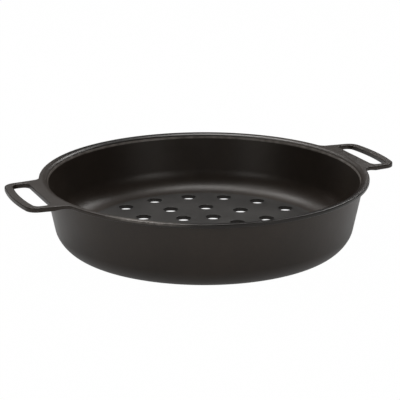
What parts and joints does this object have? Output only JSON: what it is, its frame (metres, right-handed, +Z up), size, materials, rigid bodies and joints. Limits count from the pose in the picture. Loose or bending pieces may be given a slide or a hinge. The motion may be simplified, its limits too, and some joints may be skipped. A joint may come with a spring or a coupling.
{
  "type": "perforated grill pan",
  "caption": "Round cast iron grill pan with a perforated floor, a sloping wall, a flat rim and flat loop handles, in a dark seasoned finish.",
  "frame": {"origin": "on the pan's axis, in the plane of the foot ring that it stands on", "axes": "+Z up along the pan's axis, +X from the axis through the right-hand loop handle, +Y square to the line of the handles"},
  "size_m": [0.387, 0.32, 0.0652],
  "materials": {
    "floor_iron": "seasoned, matte",
    "foot_iron": "seasoned, matte",
    "wall_iron": "seasoned, matte",
    "rim_iron": "seasoned, satin where worn",
    "right_handle_iron": "seasoned, satin where worn",
    "left_handle_iron": "seasoned, satin where worn"
  },
  "bodies": {
    "root": {"perforated_base": "floor_iron", "foot_ring": "foot_iron", "side_wall": "wall_iron", "rim_flange": "rim_iron", "right_handle": "right_handle_iron", "left_handle": "left_handle_iron"}
  },
  "joints": []
}
